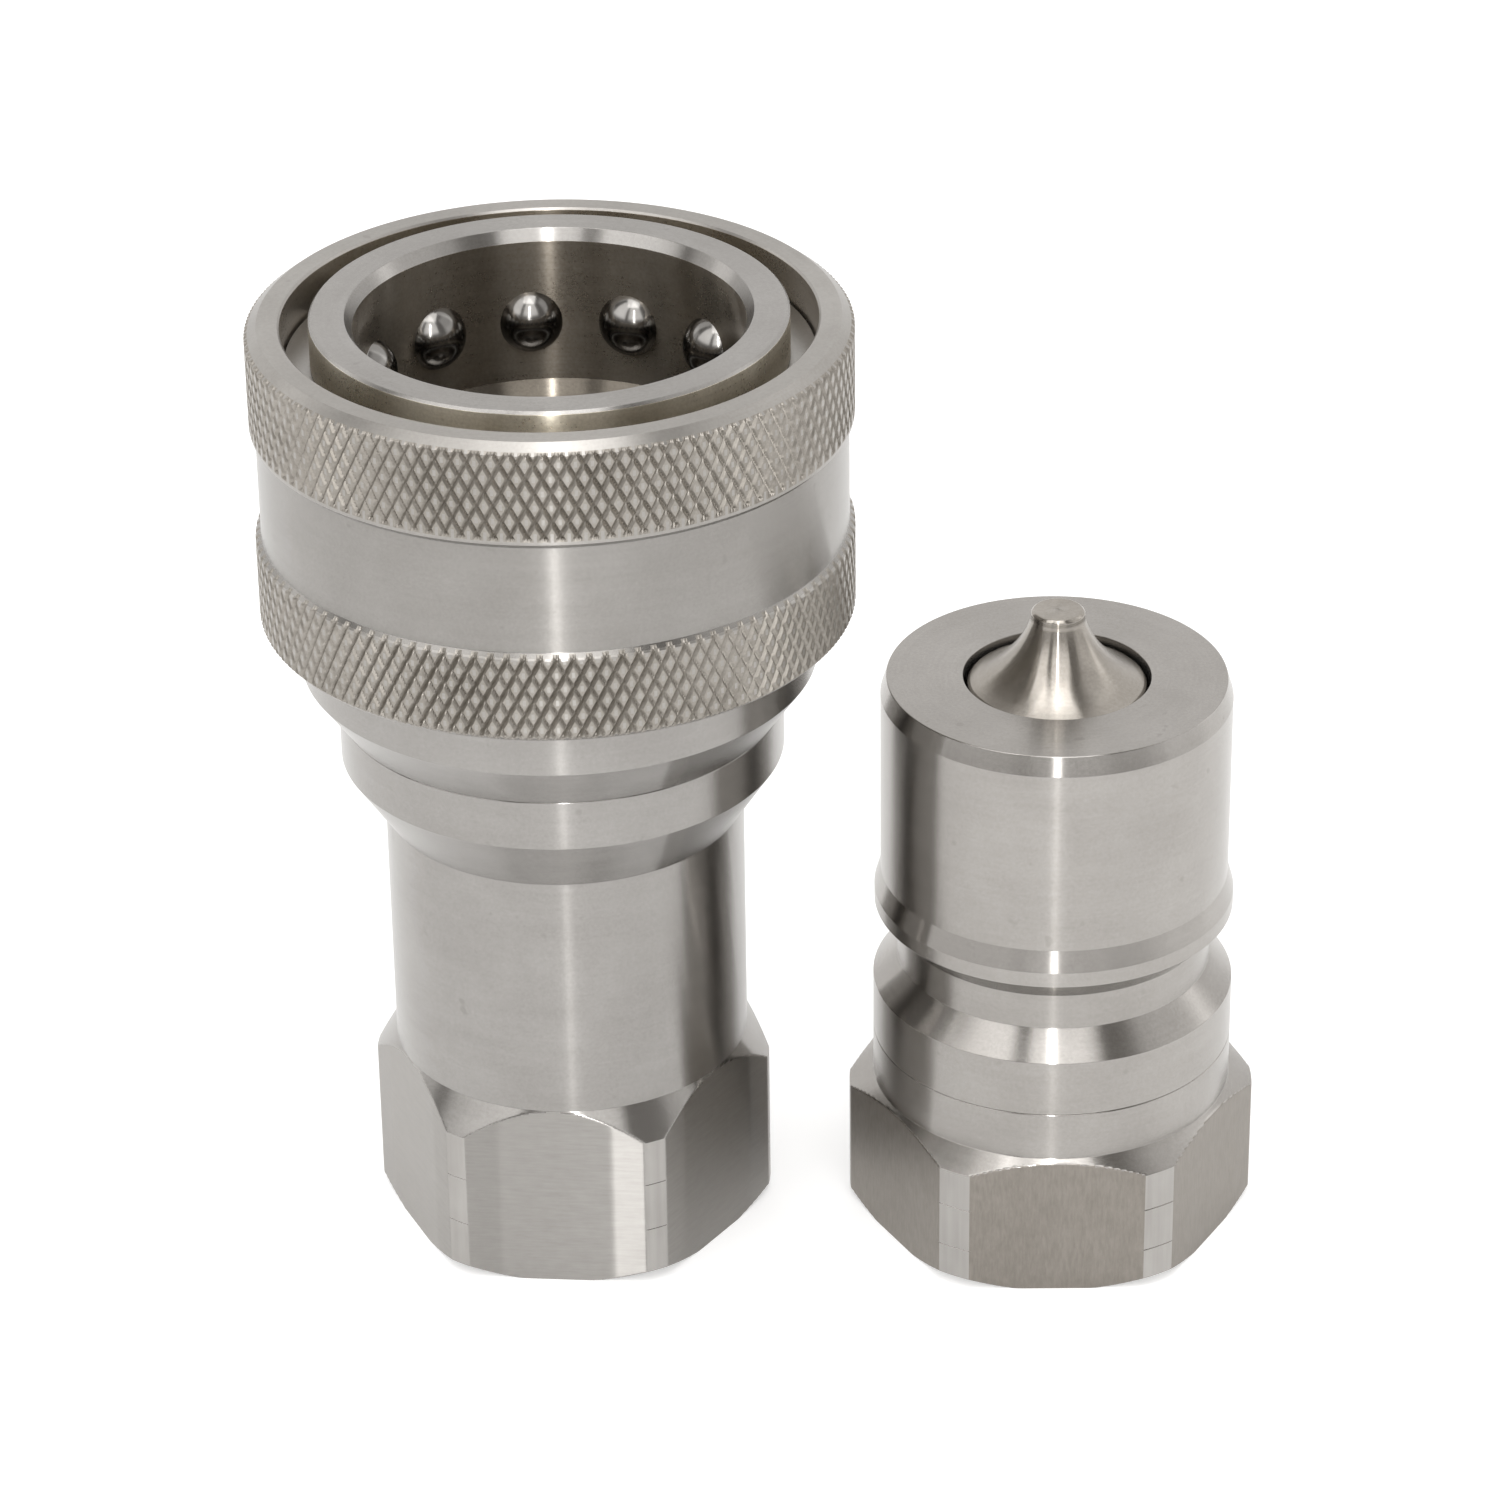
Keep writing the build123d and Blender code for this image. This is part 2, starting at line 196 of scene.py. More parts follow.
def turned(name, rows, axis, columns=384, shape=None):
    """Turn rows about an axis. shape(r, z, normal r, normal z, angle) may move a point in or out."""
    count = len(rows)
    verts, normals, shares = [], [], []
    for r, z, nr, nz in rows:
        for j in range(columns):
            angle = 2 * math.pi * j / columns
            radius, normal, share = r, Vector((nr * math.cos(angle), nr * math.sin(angle), nz)), 1.0
            if shape:
                radius, normal, share = shape(r, z, normal, angle)
            verts.append((axis.x + radius * math.cos(angle), axis.y + radius * math.sin(angle), z))
            normals.append(normal)
            shares.append(share)
    faces = []
    for i in range(count):
        k = (i + 1) % count
        on_axis = [rows[i][0] < 0.01 * MM, rows[k][0] < 0.01 * MM]
        for j in range(columns):
            m = (j + 1) % columns
            a, b, c, d = i * columns + j, i * columns + m, k * columns + m, k * columns + j
            if all(on_axis):
                continue
            if on_axis[0]:
                faces.append((i * columns, c, d))
            elif on_axis[1]:
                faces.append((a, b, k * columns))
            else:
                faces.append((a, b, c, d))
    piece = piece_from(name, verts, faces, normals)
    return piece, shares


def finished(piece, body, node, slot, *materials):
    """Give a piece its materials and body, and hide the CAD node it stands in for."""
    for material in materials:
        piece.data.materials.append(material)
    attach(piece, body)
    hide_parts(node)
    return piece


# ---------------------------------------------------------------- shader helpers
class Shader:
    """A node tree under construction. An input may be a number, a colour, or another node's socket."""

    def __init__(self, name):
        self.material = bpy.data.materials.new(name)
        self.material.use_nodes = True
        self.tree = self.material.node_tree
        self.bsdf = self.tree.nodes["Principled BSDF"]

    def add(self, kind, inputs=(), **settings):
        node = self.tree.nodes.new(kind)
        for key, value in settings.items():
            setattr(node, key, value)
        for key, value in dict(inputs).items():
            self.feed(node.inputs[key], value)
        return node

    def feed(self, socket, value):
        if isinstance(value, bpy.types.NodeSocket):
            self.tree.links.new(value, socket)
        else:
            socket.default_value = value

    def set(self, **inputs):
        for key, value in inputs.items():
            self.feed(self.bsdf.inputs[key.replace("_", " ")], value)

    def math(self, operation, a, b=0.0, c=0.0):
        return self.add("ShaderNodeMath", {0: a, 1: b, 2: c}, operation=operation).outputs[0]

    def spread(self, value, low, high, out_low, out_high):
        """Map a value's range to another, clamped."""
        inputs = {"Value": value, "From Min": low, "From Max": high, "To Min": out_low, "To Max": out_high}
        return self.add("ShaderNodeMapRange", inputs).outputs["Result"]

    def noise(self, vector, scale, detail=2.0, roughness=0.5):
        inputs = {"Vector": vector, "Scale": scale, "Detail": detail, "Roughness": roughness}
        return self.add("ShaderNodeTexNoise", inputs).outputs["Fac"]

    def position(self, axis):
        """Object coordinates measured from a vertical axis."""
        coordinates = self.add("ShaderNodeTexCoord").outputs["Object"]
        moved = self.add("ShaderNodeVectorMath", {0: coordinates, 1: tuple(axis)}, operation="SUBTRACT")
        return moved.outputs[0]

    def round_lines(self, axis, along):
        """Coordinates that turn noise into lines round the axis: radius, height, a little of the angle."""
        split = self.add("ShaderNodeSeparateXYZ", {0: self.position(axis)}).outputs
        squares = self.math("ADD", self.math("POWER", split[0], 2.0), self.math("POWER", split[1], 2.0))
        radius = self.math("SQRT", squares)
        angle = self.math("MULTIPLY", self.math("ARCTAN2", split[1], split[0]), along)
        return self.add("ShaderNodeCombineXYZ", {0: radius, 1: split[2], 2: angle}).outputs[0]

    def bump(self, height, distance, strength=1.0):
        inputs = {"Height": height, "Distance": distance, "Strength": strength}
        self.set(Normal=self.add("ShaderNodeBump", inputs).outputs["Normal"])

    def tint(self, factor, dark, light):
        node = self.add("ShaderNodeMix", data_type="RGBA")
        for key, value in (("Factor", factor), ("A", (*dark, 1)), ("B", (*light, 1))):
            sockets = [s for s in node.inputs if s.name == key and s.enabled]
            self.feed(sockets[0], value)
        return [s for s in node.outputs if s.enabled][0]


# ---------------------------------------------------------------- materials
STEEL_DARK = (0.287, 0.275, 0.261)
STEEL_LIGHT = (0.348, 0.337, 0.322)


def turned_steel(name, axis, roughness=0.22, stretch=1.0, dark=STEEL_DARK, light=STEEL_LIGHT):
    """Stainless steel off the lathe: fine lines round the axis, stretched highlights, handling marks."""
    s = Shader(name)
    place = s.position(axis)
    fine = s.noise(s.round_lines(axis, 0.5 * MM), 5200, 3.0, 0.6)
    coarse = s.noise(s.round_lines(axis, 1.2 * MM), 900, 2.0)
    grain = s.noise(place, 3600, 3.0, 0.6)
    cloud = s.noise(place, 130, 4.0, 0.6)
    specks = s.spread(s.noise(place, 620, 1.0), 0.74, 0.8, 0, 0.8)
    lines = s.math("MULTIPLY_ADD", coarse, 0.5, s.math("MULTIPLY", fine, 0.5))
    marked = s.math("MULTIPLY_ADD", grain, 0.35, s.math("MULTIPLY", lines, 0.25))
    shade = s.math("MULTIPLY_ADD", cloud, 0.4, marked)
    tone = s.math("SUBTRACT", s.spread(shade, 0.38, 0.62, 0, 1), specks)
    s.set(Metallic=1.0, Anisotropic=stretch, Anisotropic_Rotation=0.25)
    s.set(Base_Color=s.tint(tone, dark, light))
    s.set(Roughness=s.spread(shade, 0.3, 0.7, roughness - 0.02, roughness + 0.02))
    s.set(Tangent=s.add("ShaderNodeTangent", direction_type="RADIAL", axis="Z").outputs[0])
    s.bump(lines, 0.0015 * MM)
    return s.material


def knurl_steel(name, axis):
    """The grooves between the knurl's diamonds: duller than turned steel, with grime in the fine grain."""
    s = Shader(name)
    place = s.position(axis)
    grain = s.noise(place, 1900, 4.0, 0.65)
    cloud = s.noise(place, 140, 3.0)
    shade = s.math("MULTIPLY_ADD", grain, 0.6, s.math("MULTIPLY", cloud, 0.4))
    s.set(Metallic=1.0)
    s.set(Base_Color=s.tint(s.spread(shade, 0.36, 0.64, 0, 1), (0.245, 0.227, 0.201), (0.35, 0.328, 0.298)))
    s.set(Roughness=s.spread(shade, 0.3, 0.7, 0.36, 0.48))
    s.bump(shade, 0.006 * MM)
    return s.material


def milled_steel(name, axis, grain_scale, stretch, dark, light):
    """The milled flats of a hexagon. grain_scale squeezes the cutter marks' grain along X, Y and Z."""
    s = Shader(name)
    place = s.position(axis)
    squeezed = s.add("ShaderNodeMapping", {"Vector": place, "Scale": grain_scale}).outputs[0]
    grain = s.noise(squeezed, 3800, 3.0, 0.65)
    mottle = s.noise(place, 700, 4.0, 0.6)
    cloud = s.noise(place, 90, 3.0)
    marked = s.math("MULTIPLY_ADD", grain, 0.5, s.math("MULTIPLY", cloud, 0.25))
    shade = s.math("MULTIPLY_ADD", mottle, 0.25, marked)
    s.set(Metallic=1.0, Anisotropic=stretch, Anisotropic_Rotation=0.25)
    s.set(Base_Color=s.tint(s.spread(shade, 0.38, 0.62, 0, 1), dark, light))
    s.set(Roughness=s.spread(shade, 0.3, 0.7, 0.34, 0.44))
    s.set(Tangent=s.add("ShaderNodeTangent", direction_type="RADIAL", axis="Z").outputs[0])
    s.bump(shade, 0.003 * MM)
    return s.material


def bar_steel(name, axis):
    """What is left of the bright-drawn bar between the flats: smoother and lighter, faintly streaked."""
    s = Shader(name)
    place = s.position(axis)
    drawn_out = s.add("ShaderNodeMapping", {"Vector": place, "Scale": (1, 1, 0.05)}).outputs[0]
    streaks = s.noise(drawn_out, 1600, 3.0)
    cloud = s.noise(place, 160, 3.0)
    shade = s.math("MULTIPLY_ADD", streaks, 0.5, s.math("MULTIPLY", cloud, 0.5))
    s.set(Metallic=1.0)
    s.set(Base_Color=s.tint(s.spread(shade, 0.35, 0.65, 0, 1), (0.34, 0.326, 0.31), (0.42, 0.406, 0.388)))
    s.set(Roughness=s.spread(shade, 0.3, 0.7, 0.36, 0.46))
    s.bump(shade, 0.004 * MM)
    return s.material


def polished_steel(name):
    """Hardened balls: mirror bright, with hairline scuffs from the race."""
    s = Shader(name)
    place = s.position(SOCKET_AXIS)
    scuffs = s.noise(place, 2600, 5.0, 0.7)
    cloud = s.noise(place, 420, 2.0)
    s.set(Metallic=1.0)
    s.set(Base_Color=s.tint(s.spread(cloud, 0.35, 0.65, 0, 1), (0.2, 0.192, 0.182), (0.25, 0.242, 0.231)))
    s.set(Roughness=s.spread(scuffs, 0.4, 0.7, 0.15, 0.2))
    s.bump(scuffs, 0.0003 * MM)
    return s.material


def drawn_wire(name):
    """Spring wire and the snap ring: smooth, grey, a little oily."""
    s = Shader(name)
    place = s.position(SOCKET_AXIS)
    draw = s.noise(place, 1500, 4.0, 0.6)
    s.set(Metallic=1.0)
    s.set(Base_Color=s.tint(s.spread(draw, 0.35, 0.65, 0, 1), (0.26, 0.25, 0.235), (0.36, 0.345, 0.33)))
    s.set(Roughness=s.spread(draw, 0.3, 0.7, 0.2, 0.34))
    s.bump(draw, 0.003 * MM)
    return s.material


def moulded(name, dark, light, roughness):
    """Moulded seals: rubber or white plastic with a faint grain."""
    s = Shader(name)
    grain = s.noise(s.position(SOCKET_AXIS), 2400, 4.0, 0.6)
    s.set(Base_Color=s.tint(s.spread(grain, 0.35, 0.65, 0, 1), dark, light))
    s.set(Roughness=s.spread(grain, 0.3, 0.7, roughness - 0.08, roughness + 0.08))
    s.bump(grain, 0.004 * MM)
    return s.material


socket_steel = turned_steel("socket_turned_steel", SOCKET_AXIS)
plug_steel = turned_steel(
    "plug_turned_steel", PLUG_AXIS, 0.21, 1.0, (0.314, 0.299, 0.281), (0.38, 0.365, 0.346),
)
sleeve_steel = turned_steel(
    "sleeve_turned_steel", SOCKET_AXIS, 0.3, 0.9, (0.315, 0.3, 0.281), (0.385, 0.37, 0.35),
)
band_steel = turned_steel(
    "sleeve_band_steel", SOCKET_AXIS, 0.25, 1.0, (0.262, 0.251, 0.236), (0.32, 0.309, 0.293),
)
poppet_steel = turned_steel(
    "poppet_steel", PLUG_AXIS, 0.2, 1.0, (0.3, 0.276, 0.246), (0.37, 0.346, 0.313),
)
# Painted shade: the upward faces of the step deep in the bore are coloured dark brown, standing in for the
# shade down there.
lead_in_painted_shade_steel = turned_steel(
    "lead_in_painted_shade_steel", SOCKET_AXIS, 0.24, 1.0, (0.12, 0.105, 0.086), (0.18, 0.161, 0.136),
)
ring_steel = turned_steel("snap_ring_steel", SOCKET_AXIS, 0.3, 0.5)
# Painted shade: the walls of the ball holes are coloured near black, standing in for the shade in the narrow
# gap round each ball.
hole_shade_steel = turned_steel(
    "ball_hole_painted_shade_steel", SOCKET_AXIS, 0.4, 0.0, (0.05, 0.042, 0.034), (0.09, 0.078, 0.065),
)
oiled_steel = turned_steel(
    "oiled_bore_steel", SOCKET_AXIS, 0.28, 1.0, (0.265, 0.231, 0.189), (0.372, 0.334, 0.283),
)
# Painted light: the body's outer wall in the gap under the sleeve is coloured bright gold, standing in for
# light bounced between sleeve and body.
gap_painted_light_steel = turned_steel(
    "gap_wall_painted_light_steel", SOCKET_AXIS, 0.28, 1.0, (0.6, 0.545, 0.44), (0.86, 0.8, 0.67),
)
knurled_steel = knurl_steel("knurled_steel", SOCKET_AXIS)
socket_flat_steel = milled_steel(
    "socket_milled_flats", SOCKET_AXIS, (0.1, 0.1, 1), 1.0, (0.335, 0.321, 0.304), (0.39, 0.376, 0.358),
)
plug_flat_steel = milled_steel(
    "plug_milled_flats", PLUG_AXIS, (1, 1, 0.2), 0.0, (0.214, 0.196, 0.174), (0.272, 0.251, 0.225),
)
socket_bar_steel = bar_steel("socket_bar_strips", SOCKET_AXIS)
plug_bar_steel = bar_steel("plug_bar_strips", PLUG_AXIS)
ball_steel = polished_steel("polished_ball_steel")
wire_steel = drawn_wire("drawn_wire_steel")
seal_rubber = moulded("black_nitrile", (0.012, 0.012, 0.013), (0.03, 0.03, 0.032), 0.45)
seal_plastic = moulded("white_ptfe", (0.74, 0.73, 0.69), (0.86, 0.85, 0.81), 0.5)


# ---------------------------------------------------------------- hexagon ends
def flat_cutter(node, axis, top, lean):
    """A shape for turned() that cuts a CAD node's six flats, with their edges broken. The flats are a little
    crowned, and lean is how far they turn near their sides."""
    broken = 0.09 * MM
    crown = 0.02 * MM
    corners = [v.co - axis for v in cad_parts[node].data.vertices if v.co.z < top]
    reaches = []
    for turn in np.radians(np.arange(-100, -80, 0.1)):
        reaches.append((max(c.x * math.cos(turn) + c.y * math.sin(turn) for c in corners), turn))
    apothem, front = min(reaches)
    half_width = math.sqrt(max(c.x**2 + c.y**2 for c in corners) - apothem**2)

    def shape(r, z, normal, angle):
        off = (angle - front + math.pi / 6) % (math.pi / 3) - math.pi / 6
        across = min(1.0, abs(apothem * math.tan(off)) / half_width)
        limit = (apothem - crown * across**6) / math.cos(off)
        if z > top or r < apothem * 0.9:
            return r, normal, 1.0
        share = max(0.0, min(1.0, 0.5 + 0.5 * (limit - r) / broken))
        radius = limit + (r - limit) * share - broken * share * (1 - share)
        edge = max(0.0, min(1.0, (across - 0.56) / 0.14))
        bend = lean * edge * edge * (3 - 2 * edge) * math.copysign(1, off)
        flat = Vector((math.cos(angle - off + bend), math.sin(angle - off + bend), 0))
        return radius, flat.lerp(normal, share).normalized(), share

    return shape


def hexagon_end(node, name, axis, body, top, lean, steels):
    """An adapter: turned outline, six flats, and the bar's own skin left between them."""
    columns = 720
    strip_azimuth = math.radians(-60)
    rows = softened(outline_of(node, axis, strip_azimuth), 0.12 * MM)
    rows = refined(rows, 0, top + 0.5 * MM, 0.15 * MM, 15 * MM)
    shape = flat_cutter(node, axis, top, lean)
    piece, shares = turned(name, rows, axis, columns, shape)
    bar_rows = [r > 17.9 * MM and abs(nz) < 0.1 for r, z, nr, nz in rows]
    for face in piece.data.polygons:
        low_row = min(face.vertices) // columns
        if sum(shares[v] for v in face.vertices) / len(face.vertices) < 0.5:
            face.material_index = 1
        elif bar_rows[low_row] and rows[low_row][1] < top:
            face.material_index = 2
    finished(piece, body, node, "turned_steel", *steels)


hexagon_end(
    "socket_adapter", "socket_adapter_turned", SOCKET_AXIS, "socket", 18.6 * MM, math.radians(6.4),
    [socket_steel, socket_flat_steel, socket_bar_steel],
)
hexagon_end(
    "plug_adapter", "plug_adapter_turned", PLUG_AXIS, "plug", 14.2 * MM, math.radians(0.8),
    [plug_steel, plug_flat_steel, plug_bar_steel],
)


# ---------------------------------------------------------------- pipe threads in the ports
def port_thread(name, axis, body, steel):
    """Internal pipe thread: one V ridge wound up the port's wall."""
    pitch = 25.4 * MM / 14
    wall_r, crest_r = 13.2 * MM, 12.05 * MM
    low, high = 0.9 * MM, 14.3 * MM
    steps = 120
    profile = [(wall_r, -0.47), (crest_r, -0.07), (crest_r, 0.07), (wall_r, 0.47)]
    turns = (high - low) / pitch - 1
    verts, faces = [], []
    count = int(steps * turns)
    for i in range(count + 1):
        angle = 2 * math.pi * i / steps
        fade = min(1.0, 4 * i / steps, 4 * (count - i) / steps)
        for radius, share in profile:
            reach = wall_r + (radius - wall_r) * fade
            height = low + pitch * (0.5 + i / steps + share)
            verts.append((axis.x + reach * math.cos(angle), axis.y + reach * math.sin(angle), height))
    for i in range(count):
        for k in range(3):
            a = 4 * i + k
            faces.append((a, a + 1, a + 5, a + 4))
    ridge = piece_from(name, verts, faces)
    ridge.data.polygons.foreach_set("use_smooth", [False] * len(faces))
    ridge.data.materials.append(steel)
    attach(ridge, body)


port_thread("socket_port_thread", SOCKET_AXIS, "socket", socket_steel)
port_thread("plug_port_thread", PLUG_AXIS, "plug", plug_steel)

# ---------------------------------------------------------------- plain turned parts
for node, axis, body, steel, edge, hollow in (
    ("plug_body", PLUG_AXIS, "plug", plug_steel, 0.12, 1),
    ("plug_valve", PLUG_AXIS, "plug_poppet", poppet_steel, 0.3, 12),
    ("socket_valve", SOCKET_AXIS, "socket_poppet", socket_steel, 0.3, 12),
):
    part, _ = turned(f"{node}_turned", softened(outline_of(node, axis), edge * MM, 4, hollow), axis)
    finished(part, body, node, "turned_steel", steel)


# ---------------------------------------------------------------- socket body with its ball holes
BETWEEN_BALLS = math.radians(24.5)  # an azimuth that no ball hole crosses


def ball_hole_cutters():
    """Twelve tapered drills, each pointing out along a ball's way."""
    lip_r = BALL_R - 0.075 * MM
    hole_r = BALL_R + 0.205 * MM
    mouth_r = lip_r + 0.2 * MM
    stations = [(16.2, mouth_r), (16.96, mouth_r), (17.12, lip_r), (17.8, hole_r), (21.5, hole_r)]
    sides = 64
    verts, faces = [], []
    for ball in BALLS:
        middle = centre_of(ball)
        out = Vector((middle.x, middle.y, 0)).normalized()
        side = Vector((-out.y, out.x, 0))
        base = len(verts)
        for distance, radius in stations:
            for k in range(sides):
                angle = 2 * math.pi * k / sides
                ring = side * math.cos(angle) * radius + Vector((0, 0, math.sin(angle) * radius))
                verts.append(out * distance * MM + ring + Vector((0, 0, middle.z)))
        for i in range(len(stations) - 1):
            for k in range(sides):
                a, b = base + i * sides + k, base + i * sides + (k + 1) % sides
                faces.append((a, a + sides, b + sides, b))
        faces.append(tuple(base + k for k in range(sides)))
        faces.append(tuple(base + len(stations) * sides - 1 - k for k in range(sides)))
    return piece_from("ball_hole_cutters", verts, faces)


def with_round_normals(mesh, axis):
    """Shade a cut turned mesh by its axis: each face's normal follows the angle of its corners.

    Gives the faces that aren't turned."""
    normals = [None] * len(mesh.loops)
    drilled_faces = []
    for face in mesh.polygons:
        middle = face.center - axis
        out = Vector((middle.x, middle.y, 0)).normalized()
        level = math.hypot(face.normal.x, face.normal.y)
        lean = out.x * face.normal.x + out.y * face.normal.y
        turned_face = level < 0.02 or abs(lean) > 0.995 * level
        if not turned_face:
            drilled_faces.append(face)
        for loop in face.loop_indices:
            at = mesh.vertices[mesh.loops[loop].vertex_index].co - axis
            around = Vector((at.x, at.y, 0)).normalized()
            bent = around * math.copysign(level, lean) + Vector((0, 0, face.normal.z))
            normals[loop] = bent if turned_face else face.normal
    mesh.normals_split_custom_set(normals)
    return drilled_faces


body_rows = softened(outline_of("socket_body", SOCKET_AXIS, BETWEEN_BALLS), 0.12 * MM, 3)
body_blank, _ = turned("socket_body_blank", body_rows, SOCKET_AXIS, 480)
cutters = ball_hole_cutters()
boolean = body_blank.modifiers.new("holes", "BOOLEAN")
boolean.object = cutters
boolean.solver = "EXACT"
drilled = bpy.data.meshes.new_from_object(body_blank.evaluated_get(bpy.context.evaluated_depsgraph_get()))
drilled.name = "socket_body_turned"
hole_faces = with_round_normals(drilled, SOCKET_AXIS)
socket_body = bpy.data.objects.new("socket_body_turned", drilled)
bpy.context.scene.collection.objects.link(socket_body)
for spare in (body_blank, cutters):
    bpy.data.objects.remove(spare)
for face in drilled.polygons:
    reach = math.hypot(face.center.x, face.center.y)
    inside = face.center.z > 54 * MM and reach < 18.2 * MM and face.normal.z < 0.4
    if inside:
        face.material_index = 1
    # Painted light: the outer wall in the gap under the sleeve takes the bright gold steel as painted bounce
    # light.
    if face.center.z > 81 * MM and 19.5 * MM < reach and abs(face.normal.z) < 0.5:
        face.material_index = 4
    # Painted shade: the upward step deep in the bore takes the dark brown steel.
    if 70 * MM < face.center.z < 76 * MM and reach < 17 * MM and face.normal.z > 0.2:
        face.material_index = 3
# Painted shade: the drilled faces of the ball holes take the near-black steel.
for face in hole_faces:
    face.material_index = 2
body_steels = [socket_steel, oiled_steel, hole_shade_steel, lead_in_painted_shade_steel, gap_painted_light_steel]
finished(socket_body, "socket", "socket_body", "turned_steel", *body_steels)

# ---------------------------------------------------------------- balls
for ball in BALLS:
    middle = centre_of(ball)
    mesh = bmesh.new()
    bmesh.ops.create_icosphere(mesh, subdivisions=5, radius=BALL_R)
    bmesh.ops.translate(mesh, verts=mesh.verts, vec=middle)
    data = bpy.data.meshes.new(f"locking_{ball}")
    mesh.to_mesh(data)
    mesh.free()
    data.polygons.foreach_set("use_smooth", [True] * len(data.polygons))
    sphere = bpy.data.objects.new(f"locking_{ball}", data)
    bpy.context.scene.collection.objects.link(sphere)
    finished(sphere, ball, ball, "ball_steel", ball_steel)

# ---------------------------------------------------------------- knurled sleeve
KNURLS = 118  # diamonds round the sleeve
KNURL_STEPS = 10  # mesh columns to a diamond, and rows
KNURL_RISE = 2.6 * MM  # height of one diamond
KNURL_DEPTH = 0.3 * MM
KNURL_SLOPE = 2.4  # a groove takes 1 / 2.4 of the pitch, and the tops of the diamonds the rest
LOWER_BAND = (SLEEVE_LOW.z + 0.1 * MM, SLEEVE_LOW.z + 8.2 * MM)
UPPER_BAND = (SLEEVE_LOW.z + 19.1 * MM, SLEEVE_HIGH.z - 0.35 * MM)


def within(z, band, margin=0.0):
    return band[0] - margin < z < band[1] + margin


def groove_depth(column, z):
    """How deep the knurl is at a mesh column and a height. Each band has a deep and a shallower mark."""
    depths = []
    for hand in (1, -1):
        share = (column / KNURL_STEPS + hand * z / KNURL_RISE) % 1
        from_groove = min(1.0, KNURL_SLOPE * 2 * min(share, 1 - share))
        deep_hand = -1 if within(z, LOWER_BAND) else 1
        depths.append((1 - from_groove) * KNURL_DEPTH * (1.0 if hand == deep_hand else 0.75))
    return max(depths)


def with_knurl_rows(rows):
    """Add rows down the outer wall in step with the knurl."""
    step = KNURL_RISE / KNURL_STEPS
    full = []
    for a, b in zip(rows, rows[1:] + rows[:1]):
        full.append(a)
        if min(a[0], b[0]) < 25 * MM or abs(b[1] - a[1]) < 0.2 * MM:
            continue
        first = math.floor(min(a[1], b[1]) / step) + 1
        heights = [k * step for k in range(first, math.ceil(max(a[1], b[1]) / step))]
        if b[1] < a[1]:
            heights.reverse()
        for z in heights:
            banded = within(z, LOWER_BAND, step) or within(z, UPPER_BAND, step)
            if banded and min(abs(z - a[1]), abs(z - b[1])) > 0.02 * MM:
                t = (z - a[1]) / (b[1] - a[1])
                full.append(tuple(a[m] + (b[m] - a[m]) * t for m in range(4)))
    return full


def knurled_sleeve():
    """The sleeve's outline, turned, with the grooves of the knurl cut into its two bands."""
    columns = KNURLS * KNURL_STEPS
    rows = with_knurl_rows(softened(outline_of("sleeve", SOCKET_AXIS), 0.1 * MM))
    verts, normals, cut = [], [], []
    for r, z, nr, nz in rows:
        banded = r > 25 * MM and (within(z, LOWER_BAND) or within(z, UPPER_BAND))
        limits = [SLEEVE_R - groove_depth(j, z) if banded else r for j in range(KNURL_STEPS)]
        for j in range(columns):
            angle = 2 * math.pi * j / columns
            radius = min(r, limits[j % KNURL_STEPS])
            verts.append((radius * math.cos(angle), radius * math.sin(angle), z))
            normals.append((nr * math.cos(angle), nr * math.sin(angle), nz))
            cut.append(radius < r - 0.001 * MM)
    faces = []
    for i in range(len(rows)):
        k = (i + 1) % len(rows)
        for j in range(columns):
            m = (j + 1) % columns
            a, b, c, d = i * columns + j, i * columns + m, k * columns + m, k * columns + j
            if not any(cut[v] for v in (a, b, c, d)):
                faces.append((a, b, c, d))
            elif abs(verts[a][2] - verts[c][2]) < KNURL_RISE and cut[a] + cut[c] >= cut[b] + cut[d]:
                faces.extend([(a, b, c), (a, c, d)])
            else:
                faces.extend([(a, b, d), (b, c, d)])
    piece = piece_from("sleeve_knurled", verts, faces)
    mesh = piece.data
    corner_normals = [None] * len(mesh.loops)
    for face in mesh.polygons:
        flat = any(cut[v] for v in face.vertices)
        for loop in face.loop_indices:
            corner_normals[loop] = face.normal if flat else normals[mesh.loops[loop].vertex_index]
        reach = math.hypot(face.center.x, face.center.y)
        if flat:
            face.material_index = 1
        elif reach < 24 * MM and abs(face.normal.z) < 0.6:
            face.material_index = 2
        elif 25 * MM < reach < SLEEVE_R - 0.15 * MM and face.center.z < UPPER_BAND[0]:
            face.material_index = 3
    mesh.normals_split_custom_set(corner_normals)
    return piece


sleeve_steels = [sleeve_steel, knurled_steel, oiled_steel, band_steel]
finished(knurled_sleeve(), "sleeve", "sleeve", "knurled_steel", *sleeve_steels)


